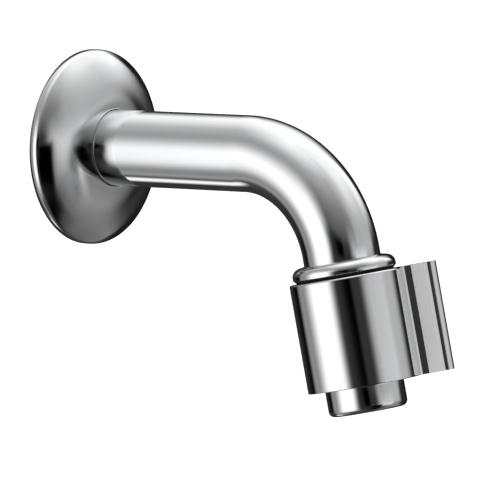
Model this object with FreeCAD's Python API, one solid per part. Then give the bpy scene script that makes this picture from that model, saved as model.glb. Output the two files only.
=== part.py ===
import FreeCAD, Part
import math
import os

os.makedirs("parts", exist_ok=True)

# Bib tap for a wall: a bent spout with a sliding wall flange, and at its outlet
# a quarter-turn handle sleeve with one wing and a nozzle that breaks up the jet.
# All sizes are in millimetres. The wall is the plane y = 0, the room lies
# towards -Y and Z is up. The origin is on the inlet axis in the wall plane.
# "h" is a distance from the wall along the inlet axis, out into the room.
# "s" is a distance from the end of the bend along the outlet axis, downwards.

# Clearances
RUN = 0.05                # radial gap of every pair that turns
SLIDE = 0.08              # radial gap of the flange on the pipe
EASE = 0.03               # radial gap of pieces that are pushed together and stay
END_GAP = 0.15            # axial gap between the collar and the turning sleeve

# Spout pipe
PIPE_R = 12.0
PIPE_WALL = 1.5
STRAIGHT = 62.4           # from the wall to the start of the bend
BEND_R = 35.5             # to the middle of the pipe
BEND_ANGLE = 80.0
PIPE_TAIL = 9.0           # straight end below the bend
PIPE_BORE_R = PIPE_R - PIPE_WALL

# Inlet nipple, with a half-inch parallel pipe thread
THREAD_R = 10.478
THREAD_LENGTH = 14.0
THREAD_CHAMFER = 0.8
SHOULDER = 2.0            # part of the nipple between the thread and the pipe
SPIGOT_LENGTH = 12.0      # part of the nipple inside the pipe
NIPPLE_BORE_R = 7.0
STRAINER_SEAT_R = 8.4
STRAINER_SEAT_DEPTH = 3.0
STRAINER_THICKNESS = 0.6
STRAINER_HOLE_R = 0.6
STRAINER_PITCH = 1.9      # from hole to hole in each ring of holes
STRAINER_WASHER_WALL = 1.4

# Wall flange
FLANGE_R = 30.75
RIM_SIDE = 1.7            # upright part of the edge
RIM_ROLL = 2.0            # rounding between the edge and the face
RIM_SLOPE = 32.0          # fall of the face at the rim, in degrees
SHOULDER_WIDTH = 8.75     # from the edge to where the face starts to flatten
SHOULDER_SLOPE = 28.0
HOLE_SLOPE = 3.0
FLANGE_SHELL = 1.0
FLANGE_BORE_R = PIPE_R + SLIDE
SHOULDER_R = FLANGE_R - SHOULDER_WIDTH

# Flange gasket and grip ring
GASKET_WIDTH = 5.0
GASKET_THICKNESS = 1.8
GASKET_R = FLANGE_R - FLANGE_SHELL
GRIP_WIDTH = 1.8
GRIP_HEIGHT = 3.0

# Outlet collar
COLLAR_R = 16.15
COLLAR_HEIGHT = 4.9
COLLAR_LEDGE = 1.3        # flat ring next to the pipe
COLLAR_BAND = 0.8         # upright band at the widest place
COLLAR_BEVEL = 1.1
COLLAR_BASE = 7.35        # s of its lower face

# Valve body
BODY_R = 14.4
SOCKET_WALL = 1.6         # round the end of the pipe
BODY_TOP = 3.4            # s of its upper end
BODY_LENGTH = 27.2
WATER_WEB = 1.6           # ledge below the pipe end
WATER_HOLE_R = 9.0
CHAMBER_R = 11.0
KEY_WIDTH = 2.0
KEY_DEPTH = 1.3
BODY_NECK_R = PIPE_R + SOCKET_WALL

# Glide rings between the valve body and the sleeve
GLIDE_DEPTH = 1.2         # how deep their grooves are cut
GLIDE_WIDTH = 2.5
UPPER_GLIDE_S = 10.5
LOWER_GLIDE_S = 20.5

# Ceramic discs and their seal
DISC_SEAL_THICKNESS = 1.8
DISC_SEAL_WIDTH = 3.0
FIXED_DISC_THICKNESS = 3.6
MOVING_DISC_THICKNESS = 3.2
MOVING_DISC_R = 10.5
WINDOW_INNER_R = 2.6
WINDOW_OUTER_R = 7.4
WINDOW_ANGLE = 76.0
LUG_WIDTH = 4.2
LUG_DEPTH = 1.7
LUG_REACH = 2.5           # how far the lugs stand into the disc

# Drive spindle
SPINDLE_HEAD = 7.8
SPINDLE_TUBE_R = 9.2
SPINDLE_NECK_R = 8.3
SPINDLE_FLAT = 7.3        # from the axis to each of the two flats
SPINDLE_THREAD_R = 7.2
SPINDLE_THREAD_LENGTH = 4.2
SPINDLE_BORE_R = 5.6
SPINDLE_FUNNEL_R = 8.4
SPINDLE_FUNNEL_DEPTH = 2.4

# Seals and rings on the spindle
O_RING_THICKNESS = 1.6
FIRST_O_RING = 1.9        # from the top of the head to the middle of the groove
O_RING_SPACING = 3.6
THRUST_THICKNESS = 0.8
CLIP_THICKNESS = 1.1
CLIP_PLAY = 0.05
CLIP_GROOVE = 0.45        # how deep its groove is cut
CLIP_GAP_ANGLE = 40.0

# Stop pin and its slot in the sleeve
STOP_PIN_SHARE = 1 / 3    # its radius as a part of the wall that it stands in
STOP_PIN_HOLE = 4.0
STOP_PIN_REACH = 3.0
STOP_SLOT_PLAY = 0.25
STOP_ANGLE = 180.0
HANDLE_TURN = 90.0

# Handle sleeve and its wing
SLEEVE_R = 17.55
SLEEVE_HEIGHT = 34.0
SLEEVE_BORE_PLAY = 0.15
SLEEVE_ROUND = 1.6
SLEEVE_WEB = 4.1
WEB_GAP = 0.6             # between the valve body and the web
WING_ANGLE = 45.0         # from the front, towards +X
WING_REACH = 28.6         # from the axis to its tip
WING_THICKNESS = 5.0
WING_ROOT_ROUND = 2.2

# Nozzle ring
NOZZLE_R = 12.35
NOZZLE_WALL = 2.3
NOZZLE_DROP = 8.3         # how far it stands below the sleeve
NOZZLE_WEB = 2.7
NOZZLE_ROUND = 1.9
NOZZLE_STEP = 0.4         # how much narrower it is inside the sleeve

# Aerator
NOZZLE_WASHER = 1.8
AERATOR_WALL = 1.2
AERATOR_RECESS = 1.35     # from the nozzle's lower edge up to the aerator
AERATOR_GRID = 1.5
GRID_RIB = 0.7
GRID_PITCH = 2.6
AERATOR_LEDGE = 0.8
PLATE_DROP = 0.4          # from the aerator's top to the flow plate
PLATE_THICKNESS = 1.4
PLATE_HOLE_R = 0.55
PLATE_PITCH = 2.6
SCREEN_THICKNESS = 0.4
SCREEN_HOLE_R = 0.5
SCREEN_PITCH = 1.5
SPACER_HEIGHT = 1.6
SPACER_WALL = 1.2

# Places down the outlet
SLEEVE_TOP = COLLAR_BASE + END_GAP
SLEEVE_END = SLEEVE_TOP + SLEEVE_HEIGHT
COLLAR_TOP = COLLAR_BASE - COLLAR_HEIGHT
BODY_END = BODY_TOP + BODY_LENGTH
CHAMBER_TOP = PIPE_TAIL + WATER_WEB
FIXED_DISC_TOP = CHAMBER_TOP + DISC_SEAL_THICKNESS
MOVING_DISC_TOP = FIXED_DISC_TOP + FIXED_DISC_THICKNESS
HEAD_TOP = MOVING_DISC_TOP + MOVING_DISC_THICKNESS
HEAD_END = HEAD_TOP + SPINDLE_HEAD
CLIP_TOP = HEAD_END + THRUST_THICKNESS + CLIP_PLAY
WEB_TOP = BODY_END + WEB_GAP
WEB_END = WEB_TOP + SLEEVE_WEB
SPINDLE_END = WEB_END + SPINDLE_THREAD_LENGTH
NOZZLE_END = SLEEVE_END + NOZZLE_DROP
NOZZLE_CHAMBER_TOP = WEB_END + NOZZLE_WEB
AERATOR_TOP = NOZZLE_CHAMBER_TOP + NOZZLE_WASHER
AERATOR_END = NOZZLE_END - AERATOR_RECESS
PLATE_TOP = AERATOR_TOP + PLATE_DROP
UPPER_SCREEN_TOP = PLATE_TOP + PLATE_THICKNESS
SPACER_TOP = UPPER_SCREEN_TOP + SCREEN_THICKNESS
LOWER_SCREEN_TOP = SPACER_TOP + SPACER_HEIGHT
AERATOR_LEDGE_S = LOWER_SCREEN_TOP + SCREEN_THICKNESS

# Radii that follow from the fits
SLEEVE_BORE_R = BODY_R + SLEEVE_BORE_PLAY
GLIDE_R = SLEEVE_BORE_R - RUN
GROOVE_R = BODY_R - GLIDE_DEPTH
HEAD_R = CHAMBER_R - RUN
DISC_R = CHAMBER_R - EASE
O_RING_GROOVE_R = HEAD_R - O_RING_THICKNESS
STOP_WALL = BODY_R - CHAMBER_R - CLIP_GROOVE
STOP_RADIUS = BODY_R - STOP_WALL / 2
STOP_PIN_R = STOP_WALL * STOP_PIN_SHARE
NOZZLE_SPIGOT_R = NOZZLE_R - NOZZLE_STEP
NOZZLE_BORE_R = NOZZLE_R - NOZZLE_WALL
AERATOR_R = NOZZLE_BORE_R - EASE
AERATOR_BORE_R = AERATOR_R - AERATOR_WALL
INSERT_R = AERATOR_BORE_R - EASE


# Helpers

def frame(angle, origin):
    """Frame on the spout's path: its z runs with the water, its y lies in the bend's plane."""
    c = math.cos(math.radians(angle))
    s = math.sin(math.radians(angle))
    return FreeCAD.Matrix(1, 0, 0, 0, 0, -s, -c, origin[0], 0, c, -s, origin[1], 0, 0, 0, 1)


WALL_FRAME = frame(0.0, (0.0, 0.0))
BEND_SIN = math.sin(math.radians(BEND_ANGLE))
BEND_COS = math.cos(math.radians(BEND_ANGLE))
OUTLET_FRAME = frame(BEND_ANGLE, (-STRAIGHT - BEND_R * BEND_SIN, BEND_R * (BEND_COS - 1)))


def save(name, shape, matrix):
    placed = shape.removeSplitter()
    placed.Placement = FreeCAD.Placement(matrix)
    placed.exportStep("parts/" + name + ".step")


def point(r, z):
    return FreeCAD.Vector(r, 0, z)


def line(a, b):
    return Part.makeLine(point(*a), point(*b))


def arc(a, b, c):
    return Part.Arc(point(*a), point(*b), point(*c)).toShape()


def turned(edges):
    """Solid of revolution about the local z axis, from a closed chain of edges."""
    face = Part.Face(Part.Wire(edges))
    return face.revolve(FreeCAD.Vector(0, 0, 0), FreeCAD.Vector(0, 0, 1), 360)


def lathe(corners):
    """Solid of revolution from a closed outline of straight lines."""
    ends = corners[1:] + corners[:1]
    return turned([line(a, b) for a, b in zip(corners, ends)])


def tube(inner, outer, start, end):
    return lathe([(inner, start), (outer, start), (outer, end), (inner, end)])


def rod(radius, start, end, x=0.0, y=0.0):
    return Part.makeCylinder(radius, end - start, FreeCAD.Vector(x, y, start))


def block(radial_in, radial_out, width, start, end, angle):
    """Box that stands out from the axis in the direction of the angle."""
    corner = FreeCAD.Vector(radial_in, -width / 2, start)
    box = Part.makeBox(radial_out - radial_in, width, end - start, corner)
    box.rotate(FreeCAD.Vector(0, 0, 0), FreeCAD.Vector(0, 0, 1), angle)
    return box


def sector(inner, outer, spread, start, end, middle):
    """Part of a ring, spread over an angle."""
    face = Part.Face(Part.makePolygon([point(*p) for p in
                     ((inner, start), (outer, start), (outer, end), (inner, end), (inner, start))]))
    solid = face.revolve(FreeCAD.Vector(0, 0, 0), FreeCAD.Vector(0, 0, 1), spread)
    solid.rotate(FreeCAD.Vector(0, 0, 0), FreeCAD.Vector(0, 0, 1), middle - spread / 2)
    return solid


def ringed_holes(hole_r, pitch, limit_r, start, end):
    """Round holes on rings about the axis, as many as fit inside the limit."""
    holes = [rod(hole_r, start, end)]
    ring = 1
    while ring * pitch + hole_r < limit_r:
        count = 6 * ring
        for i in range(count):
            a = 2 * math.pi * i / count
            holes.append(rod(hole_r, start, end, ring * pitch * math.cos(a), ring * pitch * math.sin(a)))
        ring += 1
    return holes


# Spout and inlet

def spout_pipe():
    """Pipe of one diameter: a straight run, a bend and a short tail."""
    straight = tube(PIPE_BORE_R, PIPE_R, SHOULDER, STRAIGHT)
    straight.Placement = FreeCAD.Placement(WALL_FRAME)
    centre = FreeCAD.Vector(0, -STRAIGHT, 0)
    forward = FreeCAD.Vector(0, -1, 0)
    outer = Part.Wire(Part.makeCircle(PIPE_R, centre, forward))
    inner = Part.Wire(Part.makeCircle(PIPE_BORE_R, centre, forward))
    section = Part.Face(outer).cut(Part.Face(inner)).Faces[0]
    bend = section.revolve(FreeCAD.Vector(0, -STRAIGHT, -BEND_R), FreeCAD.Vector(1, 0, 0), BEND_ANGLE)
    tail = tube(PIPE_BORE_R, PIPE_R, 0, PIPE_TAIL)
    tail.Placement = FreeCAD.Placement(OUTLET_FRAME)
    return straight.fuse([bend, tail])


def inlet_nipple():
    """Turned nipple: thread to the wall, shoulder, and a spigot brazed into the pipe."""
    end = -THREAD_LENGTH
    body = lathe([(NIPPLE_BORE_R, end), (THREAD_R - THREAD_CHAMFER, end),
                  (THREAD_R, end + THREAD_CHAMFER), (THREAD_R, 0), (PIPE_R, 0), (PIPE_R, SHOULDER),
                  (PIPE_BORE_R, SHOULDER), (PIPE_BORE_R, SHOULDER + SPIGOT_LENGTH),
                  (NIPPLE_BORE_R, SHOULDER + SPIGOT_LENGTH)])
    return body.cut(rod(STRAINER_SEAT_R, end, end + STRAINER_SEAT_DEPTH))


def inlet_strainer():
    """Perforated disc that keeps grit out, at the bottom of the seat in the nipple."""
    top = STRAINER_SEAT_DEPTH - THREAD_LENGTH
    disc = rod(STRAINER_SEAT_R - EASE, top - STRAINER_THICKNESS, top)
    limit = NIPPLE_BORE_R - 0.2
    return disc.cut(ringed_holes(STRAINER_HOLE_R, STRAINER_PITCH, limit, top - 2 * STRAINER_THICKNESS, top + 1))


def strainer_washer():
    """Rubber ring that holds the strainer and seals against the wall fitting."""
    outer = STRAINER_SEAT_R - EASE
    low = -THREAD_LENGTH
    return tube(outer - STRAINER_WASHER_WALL, outer, low, low + STRAINER_SEAT_DEPTH - STRAINER_THICKNESS)


# Wall flange

def away(centre, distance, slope):
    """Point at a distance from a centre, square to a face that falls by this slope."""
    a = math.radians(slope)
    return centre[0] + distance * math.sin(a), centre[1] + distance * math.cos(a)


def arc_radius(width, first_slope, last_slope):
    """Radius of the arc that changes its slope over this width."""
    return width / (math.sin(math.radians(first_slope)) - math.sin(math.radians(last_slope)))


def flange_side(depth):
    """Three arcs from the edge to the hole, each as three points, this deep below the outside."""
    rim_centre = (FLANGE_R - RIM_ROLL, RIM_SIDE)
    rim_end = away(rim_centre, RIM_ROLL, RIM_SLOPE)
    face_r = arc_radius(rim_end[0] - SHOULDER_R, RIM_SLOPE, SHOULDER_SLOPE)
    face_centre = away(rim_end, -face_r, RIM_SLOPE)
    crown_r = arc_radius(SHOULDER_R - FLANGE_BORE_R, SHOULDER_SLOPE, HOLE_SLOPE)
    crown_centre = away(face_centre, face_r - crown_r, SHOULDER_SLOPE)
    last_slope = math.degrees(math.asin((FLANGE_BORE_R - crown_centre[0]) / (crown_r - depth)))
    arcs = [(rim_centre, RIM_ROLL, 90, RIM_SLOPE), (face_centre, face_r, RIM_SLOPE, SHOULDER_SLOPE),
            (crown_centre, crown_r, SHOULDER_SLOPE, last_slope)]
    return [[away(centre, radius - depth, slope) for slope in (first, (first + last) / 2, last)]
            for centre, radius, first, last in arcs]


def wall_flange():
    """Pressed shell: upright edge, rolled rim, steep face, and a flatter crown round the pipe."""
    outside = flange_side(0)
    inside = flange_side(FLANGE_SHELL)
    inner_r = FLANGE_R - FLANGE_SHELL
    edges = [line((inner_r, 0), (FLANGE_R, 0)), line((FLANGE_R, 0), outside[0][0])]
    edges += [arc(*points) for points in outside]
    edges.append(line(outside[-1][2], inside[-1][2]))
    edges += [arc(*points[::-1]) for points in inside[::-1]]
    edges.append(line(inside[0][0], (inner_r, 0)))
    return turned(edges)


def flange_gasket(flange):
    """Soft ring between the flange and the wall, bedded into the back of the shell."""
    return tube(GASKET_R - GASKET_WIDTH, GASKET_R, 0, GASKET_THICKNESS).cut(flange)


def flange_grip_ring(flange):
    """Soft ring behind the hole that keeps the flange from sliding by itself."""
    inner = PIPE_R + RUN
    top = flange_side(FLANGE_SHELL)[-1][2][1]
    return tube(inner, inner + GRIP_WIDTH, top - GRIP_HEIGHT, top).cut(flange)


# Fixed pieces at the outlet

def outlet_collar():
    """Ring with a rounded shoulder that covers the joint of the pipe and the valve body."""
    ledge_r = PIPE_R + COLLAR_LEDGE
    band_top = COLLAR_BASE - COLLAR_BEVEL - COLLAR_BAND
    shoulder = (ledge_r + 0.72 * (COLLAR_R - ledge_r), COLLAR_TOP + 0.36 * (band_top - COLLAR_TOP))
    return turned([
        line((PIPE_R, COLLAR_TOP), (ledge_r, COLLAR_TOP + 0.25)),
        arc((ledge_r, COLLAR_TOP + 0.25), shoulder, (COLLAR_R, band_top)),
        line((COLLAR_R, band_top), (COLLAR_R, COLLAR_BASE - COLLAR_BEVEL)),
        line((COLLAR_R, COLLAR_BASE - COLLAR_BEVEL), (COLLAR_R - COLLAR_BEVEL, COLLAR_BASE)),
        line((COLLAR_R - COLLAR_BEVEL, COLLAR_BASE), (BODY_NECK_R, COLLAR_BASE)),
        line((BODY_NECK_R, COLLAR_BASE), (BODY_NECK_R, BODY_TOP)),
        line((BODY_NECK_R, BODY_TOP), (PIPE_R, BODY_TOP)),
        line((PIPE_R, BODY_TOP), (PIPE_R, COLLAR_TOP)),
    ])


def valve_body():
    """Turned core: socket for the pipe, ledge, disc chamber, ring grooves and stop pin hole."""
    body = lathe([(PIPE_R, BODY_TOP), (BODY_NECK_R, BODY_TOP), (BODY_NECK_R, COLLAR_BASE),
                  (BODY_R, COLLAR_BASE), (BODY_R, BODY_END), (CHAMBER_R, BODY_END),
                  (CHAMBER_R, CHAMBER_TOP), (WATER_HOLE_R, CHAMBER_TOP), (WATER_HOLE_R, PIPE_TAIL),
                  (PIPE_R, PIPE_TAIL)])
    for start in (UPPER_GLIDE_S, LOWER_GLIDE_S):
        body = body.cut(tube(GROOVE_R, BODY_R + 1, start, start + GLIDE_WIDTH))
    clip_r = CHAMBER_R + CLIP_GROOVE
    body = body.cut(tube(CHAMBER_R - 1, clip_r, CLIP_TOP, CLIP_TOP + CLIP_THICKNESS))
    for angle in (90, 270):
        key = block(CHAMBER_R - KEY_DEPTH, CHAMBER_R + KEY_DEPTH / 2, KEY_WIDTH,
                    FIXED_DISC_TOP + 0.3, MOVING_DISC_TOP - 0.3, angle)
        body = body.fuse(key)
    x, y = stop_place()
    return body.cut(rod(STOP_PIN_R, BODY_END - STOP_PIN_HOLE, BODY_END + 1, x, y))


def glide_ring(start):
    """Slippery ring in a groove of the valve body, on which the sleeve turns."""
    return tube(GROOVE_R, GLIDE_R, start, start + GLIDE_WIDTH)


def disc_seal():
    """Soft ring that presses the fixed disc down and seals it to the ledge."""
    return tube(DISC_R - DISC_SEAL_WIDTH, DISC_R, CHAMBER_TOP, FIXED_DISC_TOP)


def windowed_disc(radius, start, end, window_angle, notch_width, notch_depth):
    """Flat disc with two opposite windows and two notches in its edge between them."""
    disc = rod(radius, start, end)
    for turn in (0, 180):
        disc = disc.cut(sector(WINDOW_INNER_R, WINDOW_OUTER_R, WINDOW_ANGLE, start - 1, end + 1,
                               window_angle + turn))
        disc = disc.cut(block(radius - notch_depth, radius + 1, notch_width, start - 1, end + 1,
                              window_angle + 90 + turn))
    return disc


def fixed_disc():
    """Ceramic disc that is keyed to the valve body."""
    depth = KEY_DEPTH - (CHAMBER_R - DISC_R) + EASE
    return windowed_disc(DISC_R, FIXED_DISC_TOP, MOVING_DISC_TOP, 0, KEY_WIDTH + 2 * EASE, depth)


def retaining_ring():
    """Open spring ring in a groove of the valve body that holds the spindle in."""
    outer = CHAMBER_R + CLIP_GROOVE
    ring = tube(SPINDLE_TUBE_R + 0.4, outer, CLIP_TOP, CLIP_TOP + CLIP_THICKNESS)
    gap_top, gap_end = CLIP_TOP - CLIP_THICKNESS, CLIP_TOP + 2 * CLIP_THICKNESS
    return ring.cut(sector(SPINDLE_BORE_R, outer + CLIP_GROOVE, CLIP_GAP_ANGLE, gap_top, gap_end, 0))


def stop_place():
    a = math.radians(STOP_ANGLE)
    return STOP_RADIUS * math.cos(a), STOP_RADIUS * math.sin(a)


def stop_pin():
    """Pin pressed into the valve body that limits the turn of the sleeve."""
    x, y = stop_place()
    return rod(STOP_PIN_R, BODY_END - STOP_PIN_HOLE, BODY_END + STOP_PIN_REACH, x, y)


# Turning pieces

def moving_disc():
    """Ceramic disc that the spindle turns; its windows are shut off in the pose shown."""
    return windowed_disc(MOVING_DISC_R, MOVING_DISC_TOP, HEAD_TOP, 90, LUG_WIDTH + 2 * EASE, LUG_DEPTH)


def o_ring_middle(number):
    return HEAD_TOP + FIRST_O_RING + number * O_RING_SPACING


def drive_spindle():
    """Hollow spindle: two lugs, a grooved head, a tube, a neck with two flats and a threaded end."""
    spindle = lathe([(SPINDLE_FUNNEL_R, HEAD_TOP), (HEAD_R, HEAD_TOP), (HEAD_R, HEAD_END),
                     (SPINDLE_TUBE_R, HEAD_END), (SPINDLE_TUBE_R, WEB_TOP), (SPINDLE_NECK_R, WEB_TOP),
                     (SPINDLE_NECK_R, WEB_END), (SPINDLE_THREAD_R, WEB_END),
                     (SPINDLE_THREAD_R, SPINDLE_END), (SPINDLE_BORE_R, SPINDLE_END),
                     (SPINDLE_BORE_R, HEAD_TOP + SPINDLE_FUNNEL_DEPTH)])
    for number in (0, 1):
        middle = o_ring_middle(number)
        half = O_RING_THICKNESS / 2 + EASE
        spindle = spindle.cut(tube(O_RING_GROOVE_R, HEAD_R + 1, middle - half, middle + half))
    lug_r = MOVING_DISC_R - LUG_DEPTH + EASE
    for angle in (0, 180):
        flat = block(SPINDLE_FLAT, SPINDLE_NECK_R + 1, 4 * SPINDLE_NECK_R, WEB_TOP, WEB_END, angle + 90)
        spindle = spindle.cut(flat)
        lug = block(lug_r, HEAD_R, LUG_WIDTH, HEAD_TOP - LUG_REACH, HEAD_TOP + 0.5, angle)
        spindle = spindle.fuse(lug.common(rod(MOVING_DISC_R, HEAD_TOP - LUG_REACH, HEAD_TOP + 0.5)))
    return spindle


def spindle_o_ring(number):
    """Rubber ring in a groove of the spindle's head."""
    radius = O_RING_THICKNESS / 2
    ring = Part.makeTorus(HEAD_R - radius, radius)
    ring.translate(FreeCAD.Vector(0, 0, o_ring_middle(number)))
    return ring


def thrust_washer():
    """Slippery washer between the spindle's head and the retaining ring."""
    return tube(SPINDLE_TUBE_R + EASE, HEAD_R, HEAD_END, HEAD_END + THRUST_THICKNESS)


def wing():
    """Flat wing over the sleeve's full height, with a round tip and hollow roots."""
    half = WING_THICKNESS / 2
    tip = WING_REACH - half
    centre_r = SLEEVE_R + WING_ROOT_ROUND
    side = half + WING_ROOT_ROUND
    out = math.sqrt(centre_r ** 2 - side ** 2)
    touch = (out * SLEEVE_R / centre_r, side * SLEEVE_R / centre_r)
    turn = (math.atan2(side, out) + math.pi / 2) / 2
    hollow = (out - WING_ROOT_ROUND * math.sin(turn), side - WING_ROOT_ROUND * math.cos(turn))
    inside = SLEEVE_R - SLEEVE_ROUND - 0.4

    def at(u, v):
        return FreeCAD.Vector(u, v, SLEEVE_TOP)

    edges = [Part.makeLine(at(inside, -half), at(touch[0], -touch[1])),
             Part.Arc(at(touch[0], -touch[1]), at(hollow[0], -hollow[1]), at(out, -half)).toShape(),
             Part.makeLine(at(out, -half), at(tip, -half)),
             Part.Arc(at(tip, -half), at(WING_REACH, 0), at(tip, half)).toShape(),
             Part.makeLine(at(tip, half), at(out, half)),
             Part.Arc(at(out, half), at(*hollow), at(*touch)).toShape(),
             Part.makeLine(at(*touch), at(inside, half)),
             Part.makeLine(at(inside, half), at(inside, -half))]
    solid = Part.Face(Part.Wire(edges)).extrude(FreeCAD.Vector(0, 0, SLEEVE_HEIGHT))
    solid.rotate(FreeCAD.Vector(0, 0, 0), FreeCAD.Vector(0, 0, 1), 90 - WING_ANGLE)
    return solid


def handle_sleeve():
    """Sleeve round the valve body, with the wing, and a web that the spindle's neck passes."""
    corner = SLEEVE_R - SLEEVE_ROUND
    bulge = SLEEVE_ROUND * math.sqrt(0.5)
    hole_r = SPINDLE_NECK_R + EASE
    recess_r = NOZZLE_SPIGOT_R + EASE
    sleeve = turned([
        line((SLEEVE_BORE_R, SLEEVE_TOP), (corner, SLEEVE_TOP)),
        arc((corner, SLEEVE_TOP), (corner + bulge, SLEEVE_TOP + SLEEVE_ROUND - bulge),
            (SLEEVE_R, SLEEVE_TOP + SLEEVE_ROUND)),
        line((SLEEVE_R, SLEEVE_TOP + SLEEVE_ROUND), (SLEEVE_R, SLEEVE_END)),
        line((SLEEVE_R, SLEEVE_END), (recess_r, SLEEVE_END)),
        line((recess_r, SLEEVE_END), (recess_r, WEB_END)),
        line((recess_r, WEB_END), (hole_r, WEB_END)),
        line((hole_r, WEB_END), (hole_r, WEB_TOP)),
        line((hole_r, WEB_TOP), (SLEEVE_BORE_R, WEB_TOP)),
        line((SLEEVE_BORE_R, WEB_TOP), (SLEEVE_BORE_R, SLEEVE_TOP)),
    ])
    for angle in (90, 270):
        flat = block(SPINDLE_FLAT + EASE, hole_r + 1, 2 * SPINDLE_NECK_R, WEB_TOP, WEB_END, angle)
        sleeve = sleeve.fuse(flat.common(rod(hole_r + 0.5, WEB_TOP, WEB_END)))
    return sleeve.fuse(wing()).cut(stop_slot())


def stop_slot():
    """Blind slot in the web, a quarter turn long, in which the stop pin stands."""
    half = STOP_PIN_R + STOP_SLOT_PLAY
    depth = WEB_TOP + STOP_PIN_REACH - WEB_GAP + 0.4
    slot = sector(STOP_RADIUS - half, STOP_RADIUS + half, HANDLE_TURN, WEB_TOP - 1, depth,
                  STOP_ANGLE - HANDLE_TURN / 2)
    for angle in (STOP_ANGLE, STOP_ANGLE - HANDLE_TURN):
        a = math.radians(angle)
        slot = slot.fuse(rod(half, WEB_TOP - 1, depth, STOP_RADIUS * math.cos(a), STOP_RADIUS * math.sin(a)))
    return slot


def nozzle_ring():
    """Round nozzle below the sleeve; its spigot is screwed on the spindle and clamps the sleeve."""
    corner = NOZZLE_R - NOZZLE_ROUND
    bulge = NOZZLE_ROUND * math.sqrt(0.5)
    hole_r = SPINDLE_THREAD_R + EASE
    return turned([
        line((hole_r, WEB_END), (NOZZLE_SPIGOT_R, WEB_END)),
        line((NOZZLE_SPIGOT_R, WEB_END), (NOZZLE_SPIGOT_R, SLEEVE_END)),
        line((NOZZLE_SPIGOT_R, SLEEVE_END), (NOZZLE_R, SLEEVE_END)),
        line((NOZZLE_R, SLEEVE_END), (NOZZLE_R, NOZZLE_END - NOZZLE_ROUND)),
        arc((NOZZLE_R, NOZZLE_END - NOZZLE_ROUND), (corner + bulge, NOZZLE_END - NOZZLE_ROUND + bulge),
            (corner, NOZZLE_END)),
        line((corner, NOZZLE_END), (NOZZLE_BORE_R, NOZZLE_END)),
        line((NOZZLE_BORE_R, NOZZLE_END), (NOZZLE_BORE_R, NOZZLE_CHAMBER_TOP)),
        line((NOZZLE_BORE_R, NOZZLE_CHAMBER_TOP), (hole_r, NOZZLE_CHAMBER_TOP)),
        line((hole_r, NOZZLE_CHAMBER_TOP), (hole_r, WEB_END)),
    ])


def nozzle_washer():
    """Rubber washer that the aerator is screwed up against."""
    return tube(SPINDLE_THREAD_R + 0.4, NOZZLE_BORE_R - EASE, NOZZLE_CHAMBER_TOP, AERATOR_TOP)


# Aerator

def aerator_body():
    """Plastic cup with a ledge for the screens and a square grid across its mouth."""
    grid_top = AERATOR_END - AERATOR_GRID
    ledge_r = AERATOR_BORE_R - AERATOR_LEDGE
    cup = lathe([(AERATOR_BORE_R, AERATOR_TOP), (AERATOR_R, AERATOR_TOP), (AERATOR_R, AERATOR_END),
                 (ledge_r, AERATOR_END), (ledge_r, AERATOR_LEDGE_S), (AERATOR_BORE_R, AERATOR_LEDGE_S)])
    inside = rod(ledge_r + 0.3, grid_top, AERATOR_END)
    count = int(ledge_r / GRID_PITCH)
    for i in range(-count, count + 1):
        offset = i * GRID_PITCH - GRID_RIB / 2
        length = 2 * AERATOR_R
        along = Part.makeBox(length, GRID_RIB, AERATOR_GRID, FreeCAD.Vector(-AERATOR_R, offset, grid_top))
        across = Part.makeBox(GRID_RIB, length, AERATOR_GRID, FreeCAD.Vector(offset, -AERATOR_R, grid_top))
        cup = cup.fuse([along.common(inside), across.common(inside)])
    return cup


def perforated(hole_r, pitch, start, end):
    disc = rod(INSERT_R, start, end)
    limit = AERATOR_BORE_R - AERATOR_LEDGE
    return disc.cut(ringed_holes(hole_r, pitch, limit, start - 1, end + 1))


def flow_plate():
    """Perforated plate that splits the water into jets."""
    return perforated(PLATE_HOLE_R, PLATE_PITCH, PLATE_TOP, UPPER_SCREEN_TOP)


def screen(top):
    """Fine screen disc."""
    return perforated(SCREEN_HOLE_R, SCREEN_PITCH, top, top + SCREEN_THICKNESS)


def screen_spacer():
    """Ring that keeps the two screens apart."""
    return tube(INSERT_R - SPACER_WALL, INSERT_R, SPACER_TOP, LOWER_SCREEN_TOP)


# Write every piece

flange = wall_flange()
AT_WALL = {
    "wall_flange": flange,
    "flange_gasket": flange_gasket(flange),
    "flange_grip_ring": flange_grip_ring(flange),
    "inlet_nipple": inlet_nipple(),
    "inlet_strainer": inlet_strainer(),
    "strainer_washer": strainer_washer(),
}
AT_OUTLET = {
    "outlet_collar": outlet_collar(),
    "valve_body": valve_body(),
    "upper_glide_ring": glide_ring(UPPER_GLIDE_S),
    "lower_glide_ring": glide_ring(LOWER_GLIDE_S),
    "disc_seal": disc_seal(),
    "fixed_disc": fixed_disc(),
    "retaining_ring": retaining_ring(),
    "stop_pin": stop_pin(),
    "moving_disc": moving_disc(),
    "drive_spindle": drive_spindle(),
    "upper_spindle_o_ring": spindle_o_ring(0),
    "lower_spindle_o_ring": spindle_o_ring(1),
    "thrust_washer": thrust_washer(),
    "handle_sleeve": handle_sleeve(),
    "nozzle_ring": nozzle_ring(),
    "nozzle_washer": nozzle_washer(),
    "aerator_body": aerator_body(),
    "flow_plate": flow_plate(),
    "upper_screen": screen(UPPER_SCREEN_TOP),
    "screen_spacer": screen_spacer(),
    "lower_screen": screen(LOWER_SCREEN_TOP),
}

save("spout_pipe", spout_pipe(), FreeCAD.Matrix())
for name, shape in AT_WALL.items():
    save(name, shape, WALL_FRAME)
for name, shape in AT_OUTLET.items():
    save(name, shape, OUTLET_FRAME)
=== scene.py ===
# %% Load the tap
import math

import bpy
from mathutils import Matrix, Vector


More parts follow.
